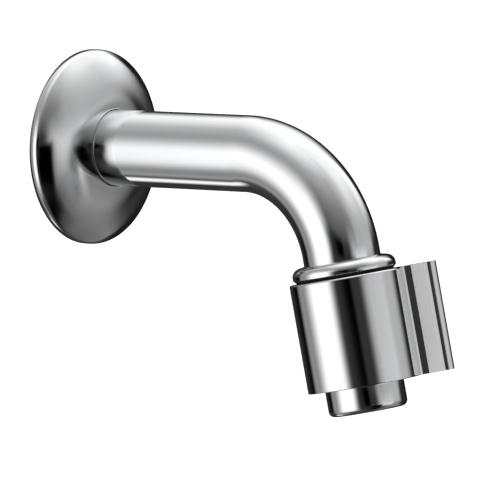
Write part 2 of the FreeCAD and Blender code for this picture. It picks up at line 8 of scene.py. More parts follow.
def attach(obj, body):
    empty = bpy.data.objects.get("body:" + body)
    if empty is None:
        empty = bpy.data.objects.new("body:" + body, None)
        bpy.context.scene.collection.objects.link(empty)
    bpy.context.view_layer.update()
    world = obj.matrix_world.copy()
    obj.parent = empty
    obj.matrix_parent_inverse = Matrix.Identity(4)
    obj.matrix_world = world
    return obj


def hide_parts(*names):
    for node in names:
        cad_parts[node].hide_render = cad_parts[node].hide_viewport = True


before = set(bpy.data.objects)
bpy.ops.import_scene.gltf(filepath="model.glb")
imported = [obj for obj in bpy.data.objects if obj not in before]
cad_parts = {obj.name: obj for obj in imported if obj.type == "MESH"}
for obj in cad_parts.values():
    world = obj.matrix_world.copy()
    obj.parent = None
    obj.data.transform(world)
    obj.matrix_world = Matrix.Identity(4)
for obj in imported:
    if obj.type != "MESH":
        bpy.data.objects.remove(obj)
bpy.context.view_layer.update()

# %% [markdown]
# ## The bib tap
# A round flange hides the hole in the wall, a bent pipe leads the water out and down, and a sleeve with
# one wing turns the valve inside it. The nozzle below breaks up the jet. Nearly all that shows is
# polished chrome, so this lesson is about two things: clean curves, because a mirror shows every
# fault in a surface, and the room that the mirror sees.
#
# Sizes are in millimetres. Heights are counted along the water's path: from the wall along the inlet,
# and from the end of the bend down the outlet.

# %% Sizes that the pieces share
MM = 0.001
ROUND = 192               # corners of a full turn
WELD = 1e-6               # metres within which points become one

PIPE_R = 12.0
STRAIGHT = 62.4
BEND_R = 35.5
BEND_ANGLE = math.radians(80.0)
SLEEVE_R = 17.55
SLEEVE_TOP = 7.5
SLEEVE_END = 41.5
NOZZLE_R = 12.35
NOZZLE_END = 49.8


def path_frame(angle, y, z):
    """Frame on the water's path: its z runs with the water, its y lies in the bend's plane."""
    c, s = math.cos(angle), math.sin(angle)
    return Matrix(((1, 0, 0, 0), (0, -s, -c, y * MM), (0, c, -s, z * MM), (0, 0, 0, 1)))


AT_WALL = path_frame(0.0, 0.0, 0.0)
AT_OUTLET = path_frame(BEND_ANGLE, -STRAIGHT - BEND_R * math.sin(BEND_ANGLE),
                       BEND_R * (math.cos(BEND_ANGLE) - 1))
DOWNSTREAM = AT_OUTLET.to_3x3() @ Vector((0, 0, 1))
print("outlet axis starts at", [round(1000 * v, 2) for v in AT_OUTLET.translation])

# %% [markdown]
# ## Turning a piece on the lathe
# Flange, collar, sleeve, nozzle and nipple are turned or pressed round. A ring of edges is a good start:
# extruded and scaled step by step, it follows the profile as a lathe tool does. Corners get a small
# arc, because no real edge is sharp, and that arc catches the light. A last modifier weights the
# normals by area, so that flat faces reflect as flats right up to their rounded edges.


# %% Profile helpers
def arc_points(centre, radius, start, end, steps):
    """Points on an arc in the profile; angles in degrees from the outward direction."""
    angles = [math.radians(start + (end - start) * i / steps) for i in range(steps + 1)]
    return [(centre[0] + radius * math.cos(a), centre[1] + radius * math.sin(a)) for a in angles]


def curve_points(poles, steps):
    """Points on a cubic curve through its first and last pole."""
    points = []
    for i in range(steps + 1):
        t = i / steps
        w = ((1 - t) ** 3, 3 * t * (1 - t) ** 2, 3 * t * t * (1 - t), t ** 3)
        points.append(tuple(sum(k * p[axis] for k, p in zip(w, poles)) for axis in (0, 1)))
    return points


def eased(corner, before, after, radius, steps=4):
    """A corner of the profile as a small arc that touches both of its sides."""
    p = Vector(corner)
    a, b = (Vector(before) - p).normalized(), (Vector(after) - p).normalized()
    half = a.angle(b) / 2
    middle = p + (a + b).normalized() * (radius / math.sin(half))
    start, end = p + a * (radius / math.tan(half)), p + b * (radius / math.tan(half))
    first, last = start - middle, end - middle
    return [tuple(middle + radius * first.slerp(last, i / steps).normalized()) for i in range(steps + 1)]


# %% Lathe and finishing helpers
def deselect():
    bpy.ops.object.select_all(action="DESELECT")


def name_piece(name):
    piece = bpy.context.object
    piece.name = name
    piece.data.name = name
    return piece


def place(piece, matrix):
    """Put the piece in its frame, with its place in its mesh."""
    piece.matrix_world = matrix
    deselect()
    piece.select_set(True)
    bpy.context.view_layer.objects.active = piece
    bpy.ops.object.transform_apply(location=True, rotation=True, scale=True)


def polish(piece):
    """Smooth shading that keeps flat faces flat."""
    bpy.context.view_layer.objects.active = piece
    bpy.ops.object.shade_smooth()
    weighted = piece.modifiers.new("flat faces", "WEIGHTED_NORMAL")
    weighted.mode = "FACE_AREA"
    weighted.weight = 100
    bpy.ops.object.modifier_apply(modifier=weighted.name)
    print(piece.name, len(piece.data.polygons), "faces")


def lathe(name, profile, matrix):
    """Turn a closed profile of (radius, height) points into a solid ring."""
    deselect()
    r, z = profile[0]
    bpy.ops.mesh.primitive_circle_add(vertices=ROUND, radius=r * MM, location=(0, 0, 0))
    piece = name_piece(name)
    bpy.ops.object.mode_set(mode="EDIT")
    bpy.ops.mesh.select_all(action="SELECT")
    bpy.ops.transform.translate(value=(0, 0, z * MM))
    for new_r, new_z in profile[1:] + profile[:1]:
        bpy.ops.mesh.extrude_region_move(TRANSFORM_OT_translate={"value": (0, 0, (new_z - z) * MM)})
        grow = new_r / r
        bpy.ops.transform.resize(value=(grow, grow, 1), center_override=(0, 0, 0))
        r, z = new_r, new_z
    bpy.ops.mesh.select_all(action="SELECT")
    bpy.ops.mesh.remove_doubles(threshold=WELD)
    bpy.ops.mesh.normals_make_consistent(inside=False)
    bpy.ops.object.mode_set(mode="OBJECT")
    place(piece, matrix)
    polish(piece)
    return piece


# %% [markdown]
# ## Wall flange
# The flange is pressed from sheet: a short upright edge with a rolled rim, then a face that is steep
# near the rim and flattens towards the hole that hugs the pipe. The slopes matter for the looks,
# because every part of the face mirrors another part of the room: the steep outer band the dark camera
# side, the middle a light strip, and the flat part next to the hole the pipe itself. The face is made
# of arcs that pass into each other without an edge, and a small lip turns in round the pipe.

# %% Turn the flange
FLANGE_R, FLANGE_SHELL, FLANGE_BORE_R = 30.75, 1.0, 12.08
RIM_SIDE, RIM_ROLL, RIM_SLOPE = 1.7, 2.0, 44.0
HOLE_LIP, HOLE_SLOPE = 0.5, 2.0
FACE_SLOPES = [(26.5, 31.0), (21.5, 22.0), (FLANGE_BORE_R + HOLE_LIP, HOLE_SLOPE)]   # radius, degrees


def square_to(slope):
    """Direction square to a surface that falls outward by this slope, in the profile."""
    return Vector((math.sin(math.radians(slope)), math.cos(math.radians(slope))))


def flange_side(shell):
    """Points from the rim to the hole: the outside, or with the shell's thickness the inside."""
    rim_centre = Vector((FLANGE_R - RIM_ROLL, RIM_SIDE))
    points = arc_points(rim_centre, RIM_ROLL - shell, 0, 90 - RIM_SLOPE, 16)
    edge, slope = rim_centre + RIM_ROLL * square_to(RIM_SLOPE), RIM_SLOPE
    for radius, next_slope in FACE_SLOPES:
        bow = (edge[0] - radius) / (square_to(slope) - square_to(next_slope))[0]
        centre = edge - bow * square_to(slope)
        points += arc_points(centre, bow - shell, 90 - slope, 90 - next_slope, 24)[1:]
        edge, slope = centre + bow * square_to(next_slope), next_slope
    return points


outside, inside = flange_side(0), flange_side(FLANGE_SHELL)
print("flange stands", round(outside[-1][1], 2), "mm off the wall at its hole")
lip_centre = (FLANGE_BORE_R + HOLE_LIP, outside[-1][1] - HOLE_LIP)
lip = arc_points(lip_centre, HOLE_LIP, 90 - HOLE_SLOPE, 180, 8)
hole = [(FLANGE_BORE_R, inside[-1][1])]
back = [(FLANGE_R - FLANGE_SHELL, 0.0), (FLANGE_R, 0.0)]
flange = lathe("flange_shell", outside + lip[1:] + hole + inside[::-1] + back, AT_WALL)
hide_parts("wall_flange")
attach(flange, "flange")

# %% [markdown]
# ## Spout pipe
# A plated tube, bent on a former. A circle is pushed along the straight run, spun about the bend's
# centre, and pushed on into the collar. The tube keeps its diameter all the way, so its outline
# through the bend is two true arcs.

# %% Bend the pipe
PIPE_START = 2.0
PIPE_TAIL = 9.0
PIPE_WALL = 1.5
BEND_STEPS = 96

deselect()
bpy.ops.mesh.primitive_circle_add(vertices=ROUND, radius=PIPE_R * MM, location=(0, -PIPE_START * MM, 0),
                                  rotation=(math.radians(90), 0, 0))
pipe = name_piece("bent_pipe")
bpy.ops.object.transform_apply(location=True, rotation=True, scale=True)
bpy.ops.object.mode_set(mode="EDIT")
bpy.ops.mesh.select_all(action="SELECT")
bpy.ops.mesh.extrude_region_move(TRANSFORM_OT_translate={"value": (0, (PIPE_START - STRAIGHT) * MM, 0)})
bpy.ops.mesh.spin(steps=BEND_STEPS, angle=-BEND_ANGLE, center=(0, -STRAIGHT * MM, -BEND_R * MM),
                  axis=(1, 0, 0))
tail = PIPE_TAIL * MM * DOWNSTREAM
bpy.ops.mesh.extrude_region_move(TRANSFORM_OT_translate={"value": tuple(tail)})
bpy.ops.mesh.select_all(action="SELECT")
bpy.ops.mesh.remove_doubles(threshold=WELD)
bpy.ops.mesh.normals_make_consistent(inside=False)
bpy.ops.object.mode_set(mode="OBJECT")
wall = pipe.modifiers.new("wall", "SOLIDIFY")
wall.thickness = PIPE_WALL * MM
wall.offset = -1
bpy.ops.object.modifier_apply(modifier=wall.name)
polish(pipe)
print("pipe reaches down to", round(min(v.co.z for v in pipe.data.vertices) / MM, 2), "mm")
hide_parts("spout_pipe")
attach(pipe, "spout")

# %% [markdown]
# ## Collar
# The collar covers the joint of pipe and valve. It has a nearly flat ledge next to the pipe, a
# rounded shoulder, a short upright band, and a bevel below it that makes a groove with the
# sleeve. The faces that look down into that groove are listed, because they get painted shade: a dark
# finish that stands in for the shadow in the groove.

# %% Turn the collar
COLLAR_R, COLLAR_TOP, COLLAR_BASE = 16.15, 2.45, 7.45
COLLAR_LEDGE_R, COLLAR_BEVEL, COLLAR_BAND = 13.3, 1.1, 0.8
COLLAR_BORE_R, COLLAR_STEP = 13.6, 3.4
PIPE_FIT = 0.02           # clearance round the pipe
LEDGE_FALL = 0.25         # how far the ledge falls from the pipe to the shoulder
SHOULDER_PULL = (15.0, COLLAR_TOP + 0.45)   # pole that keeps the shoulder full
SHOULDER_DROP = 1.5
FACING_DOWN = 0.5         # cosine of the angle within which a face looks downstream

band_top = COLLAR_BASE - COLLAR_BEVEL - COLLAR_BAND
# the ledge's two edges are broken by a tenth of a millimetre
ledge = [(PIPE_R + PIPE_FIT, COLLAR_TOP + 0.06), (PIPE_R + 0.1, COLLAR_TOP),
         (COLLAR_LEDGE_R - 0.12, COLLAR_TOP + 0.2)]
shoulder = curve_points([(COLLAR_LEDGE_R, COLLAR_TOP + LEDGE_FALL), SHOULDER_PULL,
                         (COLLAR_R, COLLAR_TOP + SHOULDER_DROP), (COLLAR_R, band_top)], 20)
bevel_out = (COLLAR_R, COLLAR_BASE - COLLAR_BEVEL)
bevel_in = (COLLAR_R - COLLAR_BEVEL, COLLAR_BASE)
bore = [(COLLAR_BORE_R, COLLAR_BASE), (COLLAR_BORE_R, COLLAR_STEP), (PIPE_R + PIPE_FIT, COLLAR_STEP)]
collar = lathe("outlet_ring", ledge + shoulder
               + eased(bevel_out, (COLLAR_R, band_top), bevel_in, 0.3)
               + eased(bevel_in, bevel_out, bore[0], 0.2) + bore, AT_OUTLET)
gap_faces = [face.index for face in collar.data.polygons if face.normal.dot(DOWNSTREAM) > FACING_DOWN]
print("gap under the collar:", len(gap_faces), "faces")
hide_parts("outlet_collar")
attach(collar, "spout")

# %% [markdown]
# ## Handle sleeve and wing
# The sleeve is a turned cup with a web inside. The wing is drawn out of the same casting: flat
# sides, a full round at its tip, and hollow roots that meet the sleeve without an edge. It is made
# as an outline pushed along the sleeve's height, with its top and bottom edges eased, and then
# joined to the sleeve, so that both are one piece. The outline has extra points where the satin panel
# on each side begins and ends.

# %% Turn the sleeve
SLEEVE_BORE_R, SLEEVE_ROUND = 14.55, 0.6
WEB_TOP, WEB_END, WEB_HOLE_R = 31.2, 35.3, 8.33
RECESS_R = 11.98

top_edge = arc_points((SLEEVE_R - SLEEVE_ROUND, SLEEVE_TOP + SLEEVE_ROUND), SLEEVE_ROUND, -90, 0, 12)
sleeve = lathe("handle_cup", [(SLEEVE_BORE_R, SLEEVE_TOP)] + top_edge
               + eased((SLEEVE_R, SLEEVE_END), (SLEEVE_R, SLEEVE_TOP), (RECESS_R, SLEEVE_END), 0.25)
               + eased((RECESS_R, SLEEVE_END), (SLEEVE_R, SLEEVE_END), (RECESS_R, WEB_END), 0.15)
               + [(RECESS_R, WEB_END), (WEB_HOLE_R, WEB_END), (WEB_HOLE_R, WEB_TOP),
                  (SLEEVE_BORE_R, WEB_TOP)], AT_OUTLET)

# %% Draw out the wing
WING_ANGLE = math.radians(45.0)
AT_WING = AT_OUTLET @ Matrix.Rotation(math.pi / 2 - WING_ANGLE, 4, "Z")
WING_REACH, WING_THICKNESS, ROOT_ROUND = 28.6, 5.0, 1.2
WING_SINK = 2.0           # how deep the wing's root reaches into the sleeve
EDGE_EASE = 0.25
POLISHED_ROOT, POLISHED_TIP = 1.9, 0.7     # bright strips on both sides of the satin panel

half = WING_THICKNESS / 2
root_centre_r = SLEEVE_R + ROOT_ROUND
side = half + ROOT_ROUND
out = math.sqrt(root_centre_r ** 2 - side ** 2)
root_start = math.degrees(math.atan2(side, out)) + 180
upper_root = arc_points((out, side), ROOT_ROUND, root_start, 270, 14)
tip = arc_points((WING_REACH - half, 0), half, 90, -90, 28)
inner = SLEEVE_R - WING_SINK
lower_root = [(u, -v) for u, v in upper_root[::-1]]
panel = (out + POLISHED_ROOT, WING_REACH - half - POLISHED_TIP)
outline = [(inner, half)] + upper_root + [(u, half) for u in panel] + tip
outline += [(u, -half) for u in panel[::-1]] + lower_root + [(inner, -half)]

deselect()
bpy.ops.mesh.primitive_circle_add(vertices=len(outline), radius=MM, fill_type="NGON", location=(0, 0, 0))
wing = name_piece("handle_wing")
for vertex, (u, v) in zip(wing.data.vertices, outline):
    vertex.co = (u * MM, v * MM, SLEEVE_TOP * MM)
bpy.ops.object.mode_set(mode="EDIT")
bpy.ops.mesh.select_all(action="SELECT")
wing_height = (SLEEVE_END - SLEEVE_TOP) * MM
bpy.ops.mesh.extrude_region_move(TRANSFORM_OT_translate={"value": (0, 0, wing_height)})
bpy.ops.mesh.select_all(action="SELECT")
bpy.ops.mesh.normals_make_consistent(inside=False)
bpy.ops.object.mode_set(mode="OBJECT")
edges = wing.modifiers.new("eased edges", "BEVEL")
edges.width = EDGE_EASE * MM
edges.segments = 3
edges.limit_method = "ANGLE"
edges.angle_limit = math.radians(60)
bpy.ops.object.modifier_apply(modifier=edges.name)
place(wing, AT_WING)
polish(wing)

# %% Join wing and sleeve
FLAT_SIDE = 0.999         # cosine that only the wing's flat sides reach

deselect()
wing.select_set(True)
sleeve.select_set(True)
bpy.context.view_layer.objects.active = sleeve
bpy.ops.object.join()
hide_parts("handle_sleeve")
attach(sleeve, "handle")
wing_out = AT_WING.to_3x3() @ Vector((1, 0, 0))
wing_across = AT_WING.to_3x3() @ Vector((0, 1, 0))
wing_sides = []
for face in sleeve.data.polygons:
    u = (face.center - AT_OUTLET.translation).dot(wing_out) / MM
    if abs(face.normal.dot(wing_across)) > FLAT_SIDE and panel[0] < u < panel[1]:
        wing_sides.append(face.index)
print("handle has", len(sleeve.data.polygons), "faces,", len(wing_sides), "of them flat wing sides")

# %% [markdown]
# ## Nozzle
# The nozzle ring turns with the sleeve. Its lower edge is well rounded, and the plastic aerator
# sits a little way up inside it.

# %% Turn the nozzle
NOZZLE_BORE_R, NOZZLE_ROUND, NOZZLE_WEB_END, NOZZLE_HOLE_R = 10.05, 1.9, 38.0, 7.23
NOZZLE_SPIGOT_R = 11.95

lower_edge = arc_points((NOZZLE_R - NOZZLE_ROUND, NOZZLE_END - NOZZLE_ROUND), NOZZLE_ROUND, 0, 90, 14)
spigot = [(NOZZLE_HOLE_R, WEB_END), (NOZZLE_SPIGOT_R, WEB_END), (NOZZLE_SPIGOT_R, SLEEVE_END)]
nozzle = lathe("nozzle_shell", spigot + [(NOZZLE_R, SLEEVE_END)] + lower_edge
               + eased((NOZZLE_BORE_R, NOZZLE_END), (NOZZLE_R, NOZZLE_END), (NOZZLE_BORE_R, WEB_END), 0.15)
               + [(NOZZLE_BORE_R, NOZZLE_WEB_END), (NOZZLE_HOLE_R, NOZZLE_WEB_END)], AT_OUTLET)
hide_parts("nozzle_ring")
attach(nozzle, "handle")

# %% [markdown]
# ## Inlet nipple
# The brass nipple behind the flange carries the half-inch thread that screws into the wall. It is
# turned like the other rings, with many rows along the thread, and then each row is pulled in to the
# thread's helix. The thread starts with a chamfer and runs out before the shoulder.

# %% Turn the nipple and cut its thread
THREAD_R, THREAD_DEPTH, THREAD_PITCH, THREAD_LENGTH = 10.478, 1.16, 1.814, 14.0
ROWS_PER_PITCH = 12
CHAMFER, RUN_OUT = 0.8, 1.6
NIPPLE_BORE_R, SPIGOT_R, SPIGOT_END, NIPPLE_SHOULDER = 7.0, 10.5, 14.0, 2.0
SEAT_R, SEAT_DEPTH = 8.4, 3.0
NEAR = 0.01               # how near to the thread's outside a point counts as on it

threaded = THREAD_LENGTH - CHAMFER
rows = int(threaded / THREAD_PITCH * ROWS_PER_PITCH)
thread_rows = [(THREAD_R, i * threaded / rows - threaded) for i in range(rows + 1)]
seat = [(NIPPLE_BORE_R, SEAT_DEPTH - THREAD_LENGTH), (SEAT_R, SEAT_DEPTH - THREAD_LENGTH),
        (SEAT_R, -THREAD_LENGTH), (THREAD_R - CHAMFER, -THREAD_LENGTH)]
head = [(PIPE_R, 0.0), (PIPE_R, NIPPLE_SHOULDER), (SPIGOT_R, NIPPLE_SHOULDER), (SPIGOT_R, SPIGOT_END)]
nipple = lathe("threaded_nipple", [(NIPPLE_BORE_R, SPIGOT_END)] + seat + thread_rows + head, AT_WALL)
for vertex in nipple.data.vertices:
    x, height, z = vertex.co.x, -vertex.co.y / MM, vertex.co.z
    radius = math.hypot(x, z) / MM
    if radius > THREAD_R - NEAR and height < -NEAR:
        turn = (height / THREAD_PITCH + math.atan2(z, x) / (2 * math.pi)) % 1.0
        groove = 1 - abs(2 * turn - 1)
        start = min(1.0, (height + THREAD_LENGTH) / (2 * CHAMFER))
        fade = min(1.0, -height / RUN_OUT)
        cut = THREAD_DEPTH * max(groove, 1 - start) * fade
        vertex.co.x *= (radius - cut) / radius
        vertex.co.z *= (radius - cut) / radius
nipple.data.update()
polish(nipple)
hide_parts("inlet_nipple")
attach(nipple, "spout")

# %% [markdown]
# ## Finishes
# A finish is never quite even. One group of nodes makes soft smudges, as wiping leaves them, and
# a second makes fine grain for cut metal, rubber, ceramic and plastic. Both read object coordinates in
# metres, so their marks have their true size on every piece.

# %% Node helpers
def new_group(name, inputs, outputs):
    group = bpy.data.node_groups.new(name, "ShaderNodeTree")
    for label, default in inputs:
        socket = group.interface.new_socket(label, in_out="INPUT", socket_type="NodeSocketFloat")
        socket.default_value = default
    for label in outputs:
        group.interface.new_socket(label, in_out="OUTPUT", socket_type="NodeSocketFloat")
    return group, group.nodes.new("NodeGroupInput"), group.nodes.new("NodeGroupOutput")


def add(tree, kind, **settings):
    node = tree.nodes.new("ShaderNode" + kind)
    for key, value in settings.items():
        setattr(node, key, value)
    return node


def feed(tree, value, socket):
    """Link another node's output to the socket, or give it a number."""
    if isinstance(value, bpy.types.NodeSocket):
        tree.links.new(value, socket)
    else:
        socket.default_value = value


def calculate(tree, operation, *values):
    node = add(tree, "Math", operation=operation)
    for socket, value in zip(node.inputs, values):
        feed(tree, value, socket)
    return node.outputs["Value"]


def noise(tree, vector, scale, detail):
    node = add(tree, "TexNoise")
    tree.links.new(vector, node.inputs["Vector"])
    tree.links.new(scale, node.inputs["Scale"])
    node.inputs["Detail"].default_value = detail
    return node.outputs["Fac"]


def spread(tree, value, low, high, to_low, to_high, ease="LINEAR"):
    """Map a value from one range to another, and hold it at the ends."""
    node = add(tree, "MapRange", interpolation_type=ease)
    numbers = {"Value": value, "From Min": low, "From Max": high, "To Min": to_low, "To Max": to_high}
    for name, number in numbers.items():
        feed(tree, number, node.inputs[name])
    return node.outputs["Result"]


# %% Smudges and grain as node groups
CLOUD_RANGE = (0.35, 0.65)     # where most of the noise lies

smudges, take, give = new_group("wiping smudges", [("Scale", 40.0), ("Low", 0.03), ("High", 0.06)],
                                ["Roughness", "Mask"])
coordinates = add(smudges, "TexCoord")
cloud = noise(smudges, coordinates.outputs["Object"], take.outputs["Scale"], 4.0)
smudges.links.new(spread(smudges, cloud, *CLOUD_RANGE, take.outputs["Low"], take.outputs["High"]),
                  give.inputs["Roughness"])
smudges.links.new(cloud, give.inputs["Mask"])

grain, take, give = new_group("fine grain", [("Scale", 900.0)], ["Mask"])
coordinates = add(grain, "TexCoord")
speckle = noise(grain, coordinates.outputs["Object"], take.outputs["Scale"], 3.0)
grain.links.new(speckle, give.inputs["Mask"])


def use_group(tree, group, **values):
    node = tree.nodes.new("ShaderNodeGroup")
    node.node_tree = group
    for name, value in values.items():
        node.inputs[name].default_value = value
    return node


def new_finish(name, **sockets):
    finish = bpy.data.materials.new(name)
    finish.use_nodes = True
    shader = finish.node_tree.nodes["Principled BSDF"]
    for socket, value in sockets.items():
        shader.inputs[socket.replace("_", " ")].default_value = value
    return finish, finish.node_tree, shader


def tint(tree, mask, dark, light, shader):
    """Base colour that drifts between two near tones."""
    mix = add(tree, "Mix", data_type="RGBA")
    tree.links.new(mask, mix.inputs["Factor"])
    mix.inputs["A"].default_value = (*dark, 1)
    mix.inputs["B"].default_value = (*light, 1)
    tree.links.new(mix.outputs["Result"], shader.inputs["Base Color"])


def roughen(tree, mask, shader, height):
    bump = add(tree, "Bump")
    bump.inputs["Distance"].default_value = height
    tree.links.new(mask, bump.inputs["Height"])
    tree.links.new(bump.outputs["Normal"], shader.inputs["Normal"])


# %% [markdown]
# ### Chrome
# Chrome plate is a mirror with a cool, slightly dark tone. Its smudges only show as small changes of
# roughness and tone. Every polished piece uses the same recipe, the flange with a little less gloss.

# %% Mix the chrome
SMUDGE_ROUGHNESS = 0.03   # how much a smudge adds


def chrome(name, scale, smooth=0.035):
    finish, tree, shader = new_finish(name, Metallic=1.0)
    marks = use_group(tree, smudges, Scale=scale, Low=smooth, High=smooth + SMUDGE_ROUGHNESS)
    tree.links.new(marks.outputs["Roughness"], shader.inputs["Roughness"])
    tint(tree, marks.outputs["Mask"], (0.79, 0.80, 0.81), (0.84, 0.845, 0.85), shader)
    return finish


chrome_flange = chrome("chrome on the flange", 60.0, 0.045)
chrome_pipe = chrome("chrome on the pipe", 35.0)
chrome_handle = chrome("chrome on the handle", 45.0)

# %% [markdown]
# The photograph's flange is crisp at its rim and next to the pipe, and softer half way between them. So
# the roughness rises in a ring, by the distance from the pipe's axis.

# %% Soften a ring of the flange's face
RING_RADIUS, RING_CORE, RING_REACH = 22.5 * MM, 1.5 * MM, 6.5 * MM
RING_SOFTNESS = 0.19

tree = chrome_flange.node_tree
shader = tree.nodes["Principled BSDF"]
wiping = shader.inputs["Roughness"].links[0].from_socket
across_pipe = add(tree, "VectorMath", operation="MULTIPLY")
tree.links.new(add(tree, "TexCoord").outputs["Object"], across_pipe.inputs[0])
across_pipe.inputs[1].default_value = (1, 0, 1)
from_axis = add(tree, "VectorMath", operation="LENGTH")
tree.links.new(across_pipe.outputs["Vector"], from_axis.inputs[0])
past_ring = calculate(tree, "SUBTRACT", from_axis.outputs["Value"], RING_RADIUS)
off_ring = calculate(tree, "ABSOLUTE", past_ring)
added = spread(tree, off_ring, RING_CORE, RING_REACH, RING_SOFTNESS, 0.0, "SMOOTHSTEP")
tree.links.new(calculate(tree, "ADD", added, wiping), shader.inputs["Roughness"])

# %% [markdown]
# The middle of each flat side of the wing is a satin panel between polished strips. It is brushed along
# the wing's height before plating, so it scatters the light instead of mirroring one dark spot of the
# room. The streaks come from noise that only changes across the wing.

# %% Brush the wing's sides
STREAKS = 1900.0          # streaks in a metre
BRUSHED_SMOOTH, BRUSHED_ROUGH = 0.48, 0.60
STREAK_RANGE = (0.3, 0.7)
BRUSHED_PULL = 0.9        # how much further the light spreads across the streaks

brushed, tree, shader = new_finish("satin chrome on the wing", Metallic=0.3)
across_wing = add(tree, "VectorMath", operation="DOT_PRODUCT")
tree.links.new(add(tree, "TexCoord").outputs["Object"], across_wing.inputs[0])
across_wing.inputs[1].default_value = tuple(wing_out)
streaks = add(tree, "TexNoise", noise_dimensions="1D")
tree.links.new(across_wing.outputs["Value"], streaks.inputs["W"])
streaks.inputs["Scale"].default_value = STREAKS
streaks.inputs["Detail"].default_value = 3.0
scatter = spread(tree, streaks.outputs["Fac"], *STREAK_RANGE, BRUSHED_SMOOTH, BRUSHED_ROUGH)
tree.links.new(scatter, shader.inputs["Roughness"])
shader.inputs["Anisotropic"].default_value = BRUSHED_PULL
outward = add(tree, "VectorTransform", vector_type="VECTOR", convert_from="OBJECT", convert_to="WORLD")
outward.inputs["Vector"].default_value = tuple(wing_out)
tree.links.new(outward.outputs["Vector"], shader.inputs["Tangent"])
tint(tree, streaks.outputs["Fac"], (0.86, 0.865, 0.87), (1.0, 1.0, 1.0), shader)

# %% [markdown]
# ### The hidden materials
# Brass, stainless steel, rubber, ceramic and plastic show at the back of the flange, in the nozzle's
# mouth, and when the tap is taken apart. Each has its own tone, gloss and grain. The groove under the
# collar gets painted shade: a dark, rough finish stands in for the shadow between collar and sleeve.

# %% Mix the other finishes
def grained(name, dark, light, scale, height, **sockets):
    finish, tree, shader = new_finish(name, **sockets)
    marks = use_group(tree, grain, Scale=scale)
    tint(tree, marks.outputs["Mask"], dark, light, shader)
    roughen(tree, marks.outputs["Mask"], shader, height)
    return finish


brass = grained("machined brass", (0.62, 0.43, 0.17), (0.78, 0.60, 0.30), 1500.0, 2e-5,
                Metallic=1.0, Roughness=0.28)
stainless = grained("stainless wire and sheet", (0.52, 0.52, 0.51), (0.68, 0.68, 0.67), 2500.0, 1e-5,
                    Metallic=1.0, Roughness=0.3)
black_rubber = grained("black rubber", (0.012, 0.012, 0.013), (0.03, 0.03, 0.03), 1200.0, 4e-5,
                       Roughness=0.62)
grey_rubber = grained("grey foam rubber", (0.16, 0.16, 0.165), (0.27, 0.27, 0.27), 1800.0, 1e-4,
                      Roughness=0.85)
ceramic = grained("lapped ceramic", (0.80, 0.79, 0.75), (0.90, 0.89, 0.86), 1500.0, 5e-6,
                  Roughness=0.22)
white_plastic = grained("white sliding plastic", (0.76, 0.76, 0.74), (0.86, 0.86, 0.84), 900.0, 1e-5,
                        Roughness=0.42)
grey_plastic = grained("grey moulded plastic", (0.30, 0.31, 0.32), (0.38, 0.39, 0.40), 700.0, 2e-5,
                       Roughness=0.45)
# painted shade: a near-black, rough finish that stands in for the shadow in the groove under the collar
groove_painted_shade = grained("painted shade in the groove", (0.02, 0.02, 0.02), (0.05, 0.05, 0.05), 1500.0, 2e-5,
                    Metallic=0.5, Roughness=0.6)

# %% Put every finish on its pieces
FINISHES = {
    brass: ["valve_body", "drive_spindle"],
    stainless: ["inlet_strainer", "retaining_ring", "stop_pin", "upper_screen", "lower_screen"],
    black_rubber: ["flange_grip_ring", "strainer_washer", "disc_seal", "upper_spindle_o_ring",
                   "lower_spindle_o_ring", "nozzle_washer"],
    grey_rubber: ["flange_gasket"],
    ceramic: ["fixed_disc", "moving_disc"],
    white_plastic: ["upper_glide_ring", "lower_glide_ring", "thrust_washer"],
    grey_plastic: ["aerator_body", "flow_plate", "screen_spacer"],
}
for finish, names in FINISHES.items():
    for name in names:
        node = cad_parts[name]
        node.data.materials.clear()
        node.data.materials.append(finish)
for piece, finish in ((flange, chrome_flange), (pipe, chrome_pipe), (collar, chrome_handle),
                      (sleeve, chrome_handle), (nozzle, chrome_handle), (nipple, brass)):
    piece.data.materials.clear()
    piece.data.materials.append(finish)
# the collar's faces that look down into the groove get the painted shade
collar.data.materials.append(groove_painted_shade)
for index in gap_faces:
    collar.data.polygons[index].material_index = 1
sleeve.data.materials.append(brushed)
for index in wing_sides:
    sleeve.data.polygons[index].material_index = 1
print("finishes:", len(bpy.data.materials))

# %% [markdown]
# ## Floor and light
# A mirror shows its room, so the room is the light. Here it is a white studio drawn in the world:
# a soft white side on the left, a grey one on the right, a dim camera side, and dark screens
# behind the tap that draw its edges. The floor is plain and pale, and the chrome doesn't mirror it:
# below the horizon too it mirrors the world.

# %% Lay the floor
FLOOR_Z, FLOOR_SIZE, FLOOR_GLOW = -0.30, 40.0, 0.6

deselect()
bpy.ops.mesh.primitive_plane_add(size=FLOOR_SIZE, location=(0, 0, FLOOR_Z))
floor = name_piece("studio_floor")
floor_finish, tree, shader = new_finish("pale floor", Roughness=0.9)
shader.inputs["Base Color"].default_value = (0.9, 0.9, 0.9, 1)
shader.inputs["Emission Color"].default_value = (1, 1, 1, 1)
shader.inputs["Emission Strength"].default_value = FLOOR_GLOW
floor.data.materials.append(floor_finish)
floor.visible_glossy = False

# %% [markdown]
# The world is painted by direction: how far round from the camera a ray goes ("round", left is
# negative), and how high, both in degrees. A dim room with a bright ceiling comes first, then
# screens are hung in front of it one by one. Each screen is a soft-edged window in round and height,
# made by one node group.

# %% A soft-edged screen as a node group
CAMERA_AZIMUTH, CAMERA_HEIGHT, CAMERA_ROLL = (math.radians(a) for a in (-52.13, 6.83, -2.14))

SCREEN_INPUTS = ["Round", "Height", "Left", "Left Soft", "Right", "Right Soft",
                 "Low", "Low Soft", "Top", "Top Soft"]
screen_group, take, give = new_group("soft screen", [(name, 0.0) for name in SCREEN_INPUTS], ["Mask"])


def soft_edge(where, edge, before, beyond):
    """One value before an edge and another beyond it: the inputs give its place and softness."""
    past = calculate(screen_group, "SUBTRACT", take.outputs[where], take.outputs[edge])
    part = calculate(screen_group, "DIVIDE", past, take.outputs[edge + " Soft"])
    return spread(screen_group, part, -1, 1, before, beyond, "SMOOTHSTEP")


